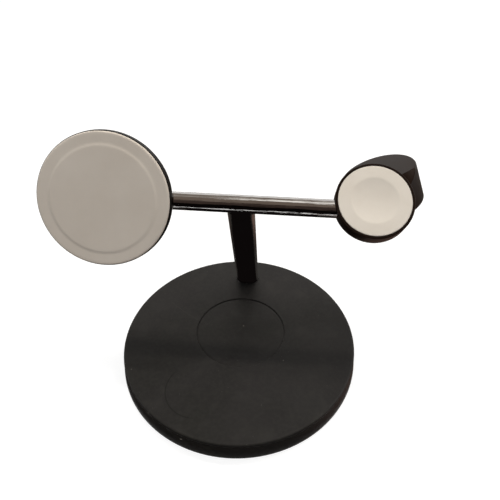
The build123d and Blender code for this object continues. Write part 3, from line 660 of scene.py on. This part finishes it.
# %% Flange and hollow
FLANGE_SIZE = (30, 12.0, FLANGE_TOP - FLANGE_LOW)
FLANGE_PLACE = (0, 42.15, FLANGE_MIDDLE)
FLANGE_CORNER = 2.5
FRAME_SCREW_X, FRAME_SCREW_Y = 11, 38.85
FRAME_SCREW_ROUND = 1.5
LEAD_WINDOW_SIZE, LEAD_WINDOW_PLACE = (24, 2.6, 2.0), (0, 43.16, 7.3)
SPIGOT_BORE = 1.2
BAR_CORE, CORE_LEFT, CORE_RIGHT = 2.35, -21, 31.9
STEM_WALL, STEM_CORE_LOW = 1.5, -4.36


def block(name, size, middle):
    """A box, given by its size and its middle in millimetres."""
    bpy.ops.object.select_all(action="DESELECT")
    bpy.ops.mesh.primitive_cube_add(size=1)
    piece = bpy.context.object
    piece.name = piece.data.name = name
    piece.scale = Vector(size) * MM
    piece.location = Vector(middle) * MM
    bpy.ops.object.transform_apply(location=True, rotation=True, scale=True)
    return piece


flange = block("flange", FLANGE_SIZE, FLANGE_PLACE)
bpy.ops.object.mode_set(mode="EDIT")
mesh = bmesh.from_edit_mesh(flange.data)
for edge in mesh.edges:
    low, high = edge.verts
    edge.select_set(abs(low.co.z - high.co.z) > 1e-4)
bmesh.update_edit_mesh(flange.data)
bpy.ops.mesh.bevel(offset=FLANGE_CORNER * MM, segments=8)
close_mesh()
combine(tee, flange, "UNION")
for way in (1, -1):
    bore = cylinder("flange_bore", FRAME_SCREW_ROUND, FLANGE_LOW - 0.6, FLANGE_TOP + 0.6, 32)
    put(bore, Matrix.Translation(Vector((way * FRAME_SCREW_X, FRAME_SCREW_Y, 0)) * MM))
    combine(tee, bore, "DIFFERENCE")
combine(tee, rod("spigot_bore", SPIGOT_BORE, BAR_LEFT - 1, BAR_RIGHT + 1), "DIFFERENCE")
combine(tee, rod("bar_core", BAR_CORE, CORE_LEFT, CORE_RIGHT), "DIFFERENCE")
stem_core = slot_bar("stem_core", -STEM_WALL, STEM_CORE_LOW, STEM_LENGTH)
combine(tee, put(stem_core, STEM_PLACE), "DIFFERENCE")
combine(tee, block("lead_window", LEAD_WINDOW_SIZE, LEAD_WINDOW_PLACE), "DIFFERENCE")
hand_over(tee, "polished_chrome", "t_frame", angle=38)

# %% [markdown]
# ## The phone head
# A black cup with a rounded back carries the white disc and hides the coil and the magnets. Its outside is
# the outline that cut the bar, and its inside follows at the thickness of the wall. The bore takes the
# bar's spigot.

# %% Phone cup
MOUTH_ROUND, MOUTH_DEPTH = 26.5, -4.5
CUP_FLOOR, CUP_FLOOR_ROUND = -10.7, 24.7
HEAD_BORE, CUP_BORE_END = 2.1, -20
cup = turned("phone_cup", cup_outline(0) + [
    (MOUTH_ROUND, LIP_TOP, 0), (MOUTH_ROUND, MOUTH_DEPTH, 0), (CUP_FLOOR_ROUND, CUP_FLOOR, 2.0),
    (0, CUP_FLOOR, 0)])
put(cup, PHONE_PLACE)
combine(cup, rod("cup_bore", HEAD_BORE, BAR_LEFT, CUP_BORE_END), "DIFFERENCE")
hand_over(cup, "body_black", "phone_housing")

# %% [markdown]
# The disc falls off softly at its edge, and its middle stands a hair above the band round it: in the
# picture that step is the faint ring. It is a slope with both corners rounded, so it shows by shading alone
# and never as a line. A plug behind it sits in the mouth of the cup.

# %% Phone disc
STEP_RING, STEP_WIDTH, STEP_HEIGHT = 22.4, 1.0, 0.2
DISC_ROUND, PLUG_ROUND, PLUG_BACK = 27.7, 26.4, -1.8
disc = turned("phone_disc", [
    (0, 0, 0), (20.6, 0, 0), (STEP_RING - STEP_WIDTH / 2, 0, 0.45),
    (STEP_RING + STEP_WIDTH / 2, -STEP_HEIGHT, 0.45), (23.8, -STEP_HEIGHT, 0), (26.2, -STEP_HEIGHT, 0),
    (DISC_ROUND, -STEP_HEIGHT, 0.65), (DISC_ROUND, LIP_TOP, 0), (PLUG_ROUND, LIP_TOP, 0),
    (PLUG_ROUND, PLUG_BACK, 0.1), (0, PLUG_BACK, 0)])
put(disc, PHONE_PLACE)
hand_over(disc, "phone_white", "phone_face")

# %% [markdown]
# ## The watch head
# A short puck holds the pale watch disc, and a drum of the same width leans away behind it. The drum is
# turned, cut flat just behind the disc by a bisect, and joined to the puck.

# %% Puck and drum
DRUM_HEIGHT, DRUM_STEP = 16.2, 1.8
DRUM_LEAN, DRUM_BACK_LEAN = radians(22.5), radians(6.6)
DRUM_FROM_BAR = Vector((3.0, 19.7, 6.9))

drum_normal = Vector((-sin(DRUM_LEAN), sin(DRUM_BACK_LEAN), cos(DRUM_LEAN))).normalized()
drum_across = Vector((cos(DRUM_LEAN), 0, sin(DRUM_LEAN)))
drum_across = (drum_across - drum_normal * drum_across.dot(drum_normal)).normalized()
drum_centre = watch_on_bar + DRUM_FROM_BAR
DRUM_PLACE = Matrix.Translation(drum_centre * MM) @ Matrix(
    (drum_across, drum_normal.cross(drum_across), drum_normal)).transposed().to_4x4()


def trim_front(piece, depth):
    """Cut away what stands in front of a plane at a depth behind the watch disc."""
    alone(piece)
    bpy.ops.object.mode_set(mode="EDIT")
    bpy.ops.mesh.select_all(action="SELECT")
    bpy.ops.mesh.bisect(plane_co=(watch_centre - watch_normal * depth) * MM, plane_no=watch_normal,
                        use_fill=True, clear_outer=True)
    close_mesh()
    return piece


drum = turned("drum", [
    (0, 0, 0), (14.9, 0, 0), (PUCK_ROUND, 0, 0.8), (PUCK_ROUND, -DRUM_HEIGHT, 0.3), (0, -DRUM_HEIGHT, 0)])
trim_front(put(drum, DRUM_PLACE), DRUM_STEP)
body = turned("watch_body", [
    (0, 0, 0), (PUCK_ROUND, 0, 0.4), (PUCK_ROUND, -PUCK_DEPTH, 2.4), (0, -PUCK_DEPTH, 0)])
put(body, WATCH_PLACE)
combine(body, drum, "UNION")
print("watch body faces so far:", len(body.data.polygons))

# %% [markdown]
# Puck and drum are hollowed by turned tools. The first leaves the seat of the disc and room for the coil.
# The second is cut flat in front as the drum was, at the wall's thickness, and two posts are taken out of
# it, so they are left standing for the screws of the lid below.

# %% Hollow of the watch body
SEAT_ROUND, SEAT_DEPTH = 15.2, 2
ROOM_ROUND, ROOM_DEPTH = 13.6, 7.4
DRUM_WALL = 1.6
POST_ROUND, POST_LOW, POST_X, POST_Y = 2.2, -14.4, 8, 9
PAST = 2
PUCK_BORE_START = 36
mouth = turned("mouth", [
    (0, PAST, 0), (SEAT_ROUND, PAST, 0), (SEAT_ROUND, -SEAT_DEPTH, 0), (ROOM_ROUND, -SEAT_DEPTH, 0),
    (ROOM_ROUND, -ROOM_DEPTH, 0), (0, -ROOM_DEPTH, 0)])
combine(body, put(mouth, WATCH_PLACE), "DIFFERENCE")
hollow = turned("drum_hollow", [
    (0, -DRUM_WALL, 0), (PUCK_ROUND - DRUM_WALL, -DRUM_WALL, 0.4),
    (PUCK_ROUND - DRUM_WALL, -DRUM_HEIGHT - 1, 0), (0, -DRUM_HEIGHT - 1, 0)])
trim_front(put(hollow, DRUM_PLACE), DRUM_STEP + DRUM_WALL)
for way in (1, -1):
    post = cylinder("lid_post", POST_ROUND, POST_LOW, PAST, 32)
    put(post, DRUM_PLACE @ Matrix.Translation(Vector((way * POST_X, POST_Y, 0)) * MM))
    combine(hollow, post, "DIFFERENCE")
combine(body, hollow, "DIFFERENCE")
combine(body, rod("puck_bore", HEAD_BORE, PUCK_BORE_START, BAR_RIGHT), "DIFFERENCE")
hand_over(body, "body_black", "watch_housing")

# %% [markdown]
# The watch disc is a satin plate with a shallow round dish that takes the curved back of a watch. The dish
# is part of a sphere, so its points are worked out from the dish's width and depth.

# %% Watch disc
DISH_ROUND, DISH_DEPTH = 9.9, 1.1
DISH_RINGS = 12
WATCH_PLATE = 15.15
dish_ball = (DISH_ROUND ** 2 + DISH_DEPTH ** 2) / (2 * DISH_DEPTH)
dish_radii = [DISH_ROUND * ring / DISH_RINGS for ring in range(DISH_RINGS)]
dish = [(out, dish_ball - sqrt(dish_ball ** 2 - out ** 2) - DISH_DEPTH, 0) for out in dish_radii]
watch_disc = turned("watch_disc", dish + [
    (DISH_ROUND, 0, 0.5), (11.2, 0, 0), (14.3, 0, 0), (WATCH_PLATE, 0, 0.35), (WATCH_PLATE, -SEAT_DEPTH, 0.1),
    (0, -SEAT_DEPTH, 0)])
put(watch_disc, WATCH_PLACE)
hand_over(watch_disc, "watch_white", "watch_face")

# %% [markdown]
# ## How a finish is built
# A moulded or cast surface is never one flat colour. Each finish here has slow patches of two near colours,
# a gloss that follows the patches, and a fine grain that tilts the light. All sizes are in millimetres of
# the real surface, read from Object coordinates, so they stay the same on every piece.


# %% Finish helpers
def start_finish(name, **sockets):
    """A new material with its shader and the coordinates that its patterns read."""
    material = bpy.data.materials.new(name)
    material.use_nodes = True
    tree = material.node_tree
    tree.nodes.clear()
    place = add_node(tree, "ShaderNodeTexCoord").outputs["Object"]
    shader = add_node(tree, "ShaderNodeBsdfPrincipled", sockets)
    add_node(tree, "ShaderNodeOutputMaterial", links={"Surface": shader.outputs[0]})
    return material, tree, place, shader


def grained(name, first, second, patch, grain, relief, gloss, **sockets):
    """A finish with patches of two colours, gloss that follows them and a fine relief."""
    material, tree, place, shader = start_finish(name, **sockets)
    patches = add_node(tree, "ShaderNodeTexNoise", {"Scale": per_mm(patch), "Detail": 5.0, "Roughness": 0.6},
                       {"Vector": place})
    spread = add_node(tree, "ShaderNodeMapRange", {"From Min": 0.3, "From Max": 0.7},
                      {"Value": patches.outputs[0]})
    colour = add_node(tree, "ShaderNodeMix", {"data_type": "RGBA", 6: linear(first), 7: linear(second)},
                      {0: spread.outputs[0]})
    rough = add_node(tree, "ShaderNodeMapRange", {"To Min": gloss[0], "To Max": gloss[1]},
                     {"Value": spread.outputs[0]})
    fine = add_node(tree, "ShaderNodeTexNoise", {"Scale": per_mm(grain), "Detail": 2.0}, {"Vector": place})
    bump = add_node(tree, "ShaderNodeBump", {"Distance": relief * MM}, {"Height": fine.outputs[0]})
    for socket, output in (("Base Color", colour.outputs[2]), ("Roughness", rough.outputs[0]),
                           ("Normal", bump.outputs[0])):
        tree.links.new(output, shader.inputs[socket])
    return material


# %% [markdown]
# ## Black plastic of the base
# The base is ABS from a mould with a spark-eroded skin: matt, nearly black, and the first piece to show
# wear. Slow patches lean from a greenish to a purplish black, and hands leave a lighter bloom. On top of
# these come dust and a few scuffs that are arcs of circles. Each mark is a mask that mixes one more colour
# over the last, so one function adds any of them.


# %% Black of the base
def tree_of(material):
    """The node tree of a finish with its shader and its coordinates."""
    tree = material.node_tree
    shader = next(node for node in tree.nodes if node.type == "BSDF_PRINCIPLED")
    place = next(node for node in tree.nodes if node.type == "TEX_COORD").outputs["Object"]
    return tree, shader, place


def laid_over(material, mask, colour, strength):
    """Mix a colour over a finish where a mask is one."""
    tree, shader, _ = tree_of(material)
    under = shader.inputs["Base Color"].links[0].from_socket
    amount = add_node(tree, "ShaderNodeMath", {"operation": "MULTIPLY", 1: strength}, {0: mask})
    mixed = add_node(tree, "ShaderNodeMix", {"data_type": "RGBA", 7: linear(colour)},
                     {0: amount.outputs[0], 6: under})
    tree.links.new(mixed.outputs[2], shader.inputs["Base Color"])


def mask_where(tree, *limits):
    """One where each value is past its limits, given as (value, start, end), and nought elsewhere."""
    share = None
    for value, start, end in limits:
        ramp = add_node(tree, "ShaderNodeMapRange", {"From Min": start, "From Max": end}, {"Value": value})
        if share is None:
            share = ramp.outputs[0]
        else:
            product = add_node(tree, "ShaderNodeMath", {"operation": "MULTIPLY"},
                               {0: share, 1: ramp.outputs[0]})
            share = product.outputs[0]
    return share


def bloom(tree, place, size, detail, start, end):
    """A cloudy mask with features of a size in millimetres."""
    cloud = add_node(tree, "ShaderNodeTexNoise", {"Scale": per_mm(size), "Detail": detail}, {"Vector": place})
    return mask_where(tree, (cloud.outputs[0], start, end))


def dust(tree, place, spacing, width, share):
    """A scatter of specks: some of the cells of a random pattern hold one."""
    cells = add_node(tree, "ShaderNodeTexVoronoi", {"Scale": per_mm(spacing)}, {"Vector": place})
    picked = add_node(tree, "ShaderNodeSeparateColor", links={0: cells.outputs["Color"]})
    return mask_where(tree, (cells.outputs["Distance"], width / spacing, 0.5 * width / spacing),
                      (picked.outputs[0], share, share - 0.01))


def arc(tree, place, centre, radius, width, left, right_end, back):
    """A scuff along a circle on the top plate, kept between a left, a right and a back limit."""
    middle = Vector((*centre, BASE_TOP)) * MM
    away = add_node(tree, "ShaderNodeVectorMath", {"operation": "DISTANCE", 1: middle}, {0: place})
    off = add_node(tree, "ShaderNodeMath", {"operation": "SUBTRACT", 1: radius * MM},
                   {0: away.outputs["Value"]})
    off = add_node(tree, "ShaderNodeMath", {"operation": "ABSOLUTE"}, {0: off.outputs[0]})
    spot = add_node(tree, "ShaderNodeSeparateXYZ", links={0: place})
    return mask_where(tree, (off.outputs[0], width * MM, 0.3 * width * MM),
                      (spot.outputs[0], left * MM, (left + 1) * MM),
                      (spot.outputs[0], right_end * MM, (right_end - 4) * MM),
                      (spot.outputs[1], back * MM, (back - 3) * MM))


base_black = grained("abs_black_spark_eroded", "#222220", "#252324", 46, 0.7, 0.02, (0.36, 0.46),
                     **{"IOR": 1.5, "Specular IOR Level": 0.38})
base_tree, _, base_place = tree_of(base_black)
for mask, colour, strength in (
    (bloom(base_tree, base_place, 26, 4, 0.45, 0.7), "#2E2D2C", 0.4),
    (bloom(base_tree, base_place, 9, 6, 0.52, 0.72), "#343331", 0.4),
    (bloom(base_tree, base_place, 1.6, 3, 0.4, 0.75), "#30302D", 0.5),
    (arc(base_tree, base_place, (-16, -31), 14.1, 0.4, -32, -14, -21), "#0B0B0A", 0.6),
    (arc(base_tree, base_place, (14.4, 80.3), 80, 0.3, -39, -22, 24), "#3A3937", 0.3),
    (dust(base_tree, base_place, 7, 0.45, 0.2), "#6A6862", 0.6),
    (dust(base_tree, base_place, 2.6, 0.22, 0.3), "#54534F", 0.6),
):
    laid_over(base_black, mask, colour, strength)
side.data.materials.append(base_black)
plate.data.materials.append(base_black)
print("marks on the base laid over")

# %% [markdown]
# ## Black plastic of the heads, and the foot
# The heads are the same plastic with a smoother, satin skin and a warm tinge. The phone cup gets a darker,
# less glossy copy of that plastic, which is painted shade on the cup. The foot is dull silicone. The real
# grit is about a tenth of a millimetre, so it is drawn coarser here, to show at all.

# %% Blacks of the heads and the foot
head_black = grained("abs_black_satin", "#1C120D", "#251810", 22, 0.5, 0.008, (0.30, 0.38),
                     **{"IOR": 1.5, "Specular IOR Level": 0.21})
# the cup's copy of the heads' plastic, darker and less glossy: painted shade
cup_black = grained("abs_black_painted_shade", "#0E0B0A", "#15110F", 22, 0.5, 0.008, (0.34, 0.42),
                    **{"IOR": 1.5, "Specular IOR Level": 0.12})
foot_black = grained("silicone_black_moulded", "#161616", "#1E1D1C", 12, 0.5, 0.02, (0.70, 0.85),
                     **{"IOR": 1.41})
foot.data.materials.append(foot_black)
cup.data.materials.append(cup_black)
body.data.materials.append(head_black)
print("blacks made: 4")

# %% [markdown]
# ## Chrome
# Bright chrome plate over polished zinc: a mirror that is a touch cool, with faint wiping marks that change
# how sharp the reflection is. The belt that polished the bar ran along it, so very shallow waves lie that
# way and break each bright line into strands.

# %% Chrome plate
ALONG_BELT = 0.04
WAVE_WIDTH, WAVE_DEPTH = 0.7, 0.1
chrome = grained("chrome_plate_polished", "#D8D6D4", "#E6E4E2", 18, 0.9, 0.0004, (0.03, 0.06), Metallic=1.0)
chrome_tree, chrome_shader, chrome_place = tree_of(chrome)
drawn = add_node(chrome_tree, "ShaderNodeMapping", {"Scale": (ALONG_BELT, 1, 1)}, {"Vector": chrome_place})
lines = add_node(chrome_tree, "ShaderNodeTexNoise", {"Scale": per_mm(WAVE_WIDTH), "Detail": 3.0},
                 {"Vector": drawn.outputs[0]})
waves = add_node(chrome_tree, "ShaderNodeBump", {"Distance": WAVE_DEPTH * MM},
                 {"Height": lines.outputs[0], "Normal": chrome_shader.inputs["Normal"].links[0].from_socket})
chrome_tree.links.new(waves.outputs[0], chrome_shader.inputs["Normal"])
tee.data.materials.append(chrome)
print("chrome made")

# %% [markdown]
# ## The two white discs
# The phone disc is white silicone over the magnets, matt and a little warm, and slightly grey from use. The
# watch disc is harder, smoother and whiter.

# %% White discs
phone_skin = grained("silicone_white_matt", "#EAE1D5", "#F1E9DE", 26, 0.6, 0.012, (0.52, 0.64),
                     **{"IOR": 1.43})
watch_skin = grained("polycarbonate_white_satin", "#EAE3D8", "#F1EBE1", 16, 0.5, 0.004, (0.34, 0.42),
                     **{"IOR": 1.58})
disc.data.materials.append(phone_skin)
watch_disc.data.materials.append(watch_skin)
print("white finishes made: 2")

# %% [markdown]
# ## What lies inside
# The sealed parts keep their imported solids. They still get true finishes: solder mask, enamelled copper,
# pressed ferrite, nickel on the magnets, zinc on the screws, and so on, because someone may open the model.


# %% Finishes of coils and boards
RING_REPEAT = 0.1 * pi  # the ring pattern repeats this far apart at a scale of one
WIRE_GROOVE = 0.1
TRACK_FIELD, TRACK_SHARE = 8, 0.03


def wound(name, centre, tilt, pitch):
    """Enamelled copper wound flat: fine rings round the coil's own axis."""
    material = grained(name, "#8A4522", "#B0622F", 6, 0.3, 0.004, (0.25, 0.35), Metallic=1.0)
    tree, shader, place = tree_of(material)
    turn = add_node(tree, "ShaderNodeMapping", {
        "vector_type": "TEXTURE", "Location": Vector(centre) * MM, "Rotation": (tilt, 0, 0)},
                    {"Vector": place})
    rings = add_node(tree, "ShaderNodeTexWave", {
        "wave_type": "RINGS", "rings_direction": "Z", "Scale": RING_REPEAT * per_mm(pitch)},
                     {"Vector": turn.outputs[0]})
    under = shader.inputs["Normal"].links[0].from_socket
    groove = add_node(tree, "ShaderNodeBump", {"Distance": WIRE_GROOVE * MM},
                      {"Height": rings.outputs[1], "Normal": under})
    tree.links.new(groove.outputs[0], shader.inputs["Normal"])
    return material


def etched(name):
    """Green solder mask with the copper tracks just showing through."""
    material = grained(name, "#0E3B22", "#14492B", 8, 0.4, 0.006, (0.30, 0.42), **{"IOR": 1.5})
    tree, _, place = tree_of(material)
    black = linear("#000000")
    tracks = add_node(tree, "ShaderNodeTexBrick", {
        "Scale": per_mm(TRACK_FIELD), "Mortar Size": TRACK_SHARE, "Color1": black, "Color2": black,
        "Mortar": linear("#FFFFFF")}, {"Vector": place})
    laid_over(material, tracks.outputs["Fac"], "#2C6B3F", 1.0)
    return material


print("turns and tracks drawn from a repeat of", round(RING_REPEAT, 3))

# %% [markdown]
# The other inner finishes are plain grained ones, and a comment says what each gives the eye. Each is then
# handed to the solids that are made of it.

# %% Inner finishes
# cold grey with a soft, cloudy sheen
STEEL = grained("zinc_plated_steel", "#8E8F90", "#A9AAAB", 5, 0.3, 0.006, (0.28, 0.42), Metallic=1.0)
# the same zinc on turned heads: a shade darker and brighter in its lights
SCREW = grained("zinc_plated_screw", "#7E7F82", "#999A9D", 2, 0.2, 0.004, (0.25, 0.38), Metallic=1.0)
# an amber sheet with a slippery gloss
FILM = grained("polyester_film", "#B9A35A", "#C8B36C", 10, 0.6, 0.004, (0.25, 0.40), **{"IOR": 1.57})
# deep green lacquer over faint paler tracks
BOARD = etched("glass_epoxy_solder_mask")
# dull charcoal, finely pitted
CHIP = grained("epoxy_chip_moulded", "#191A1C", "#222325", 3, 0.25, 0.008, (0.45, 0.60), **{"IOR": 1.55})
# milky white, half matt
NYLON = grained("nylon_white_moulded", "#D9D4C6", "#E2DDD0", 3, 0.3, 0.008, (0.45, 0.55), **{"IOR": 1.53})
# plain black, half matt
SOCKET = grained("pbt_black_moulded", "#141415", "#1C1C1D", 4, 0.3, 0.008, (0.40, 0.52), **{"IOR": 1.55})
# warm silver, close to a mirror
PIN = grained("nickel_plated_brass", "#BDB6A6", "#CFC8B8", 2, 0.2, 0.003, (0.16, 0.26), Metallic=1.0)
# clouded white with a gloss
LAMP = grained("epoxy_lamp_diffused", "#E8E6DC", "#F2F0E8", 2, 0.2, 0.002, (0.20, 0.30), **{"IOR": 1.5})
# clear plastic, slightly frosted
PIPE = grained("acrylic_light_pipe", "#C9C8C2", "#DDDCD6", 2, 0.2, 0.002, (0.12, 0.20),
               **{"IOR": 1.49, "Transmission Weight": 0.4})
# mid grey with the faint grain of its fibres
CARRIER = grained("glass_filled_nylon_grey", "#3B3D3F", "#484A4C", 6, 0.4, 0.012, (0.50, 0.62),
                  **{"IOR": 1.53})
# slate grey, dry as chalk
FERRITE = grained("pressed_ferrite", "#26262A", "#323238", 4, 0.3, 0.012, (0.55, 0.70), **{"IOR": 1.6})
# pale bright silver
MAGNET = grained("nickel_plated_magnet", "#B3B0A8", "#C7C4BC", 4, 0.25, 0.004, (0.18, 0.28), Metallic=1.0)
# soft black, as on any flexible lead
LEAD = grained("pvc_black_lead", "#18181A", "#212123", 3, 0.3, 0.006, (0.42, 0.55), **{"IOR": 1.53})

inner_finishes = {
    STEEL: ("ballast_plate", "phone_shield"),
    SCREW: ("cover_screws", "frame_screws", "phone_screws", "watch_screws"),
    FILM: ("insulator_sheet",),
    BOARD: ("main_board", "phone_board", "watch_board"),
    CHIP: ("board_components",),
    NYLON: ("lead_connectors", "phone_connector"),
    SOCKET: ("inlet_jack",),
    PIN: ("inlet_pin",),
    LAMP: ("indicator_lamp",),
    PIPE: ("light_pipe",),
    CARRIER: ("coil_carrier",),
    FERRITE: ("earbud_ferrite", "phone_ferrite", "watch_ferrite"),
    MAGNET: ("phone_magnets", "watch_magnet"),
    LEAD: ("phone_lead", "watch_lead"),
    head_black: ("watch_lid",),
    wound("copper_wound_earbud", (0, RECESS_Y, 0), 0, 0.5): ("earbud_coil",),
    wound("copper_wound_phone", phone_centre, PHONE_TILT, 0.5): ("phone_coil",),
    wound("copper_wound_watch", watch_centre, WATCH_TILT, 0.4): ("watch_coil",),
}
for finish, names in inner_finishes.items():
    for name in names:
        nodes[name].data.materials.clear()
        nodes[name].data.materials.append(finish)
print("inner solids finished:", sum(len(names) for names in inner_finishes.values()))

# %% [markdown]
# ## Last settings
# The plain view transform keeps colours as they are written.

# %% Finish
bpy.context.scene.view_settings.view_transform = "Standard"
bpy.context.view_layer.update()
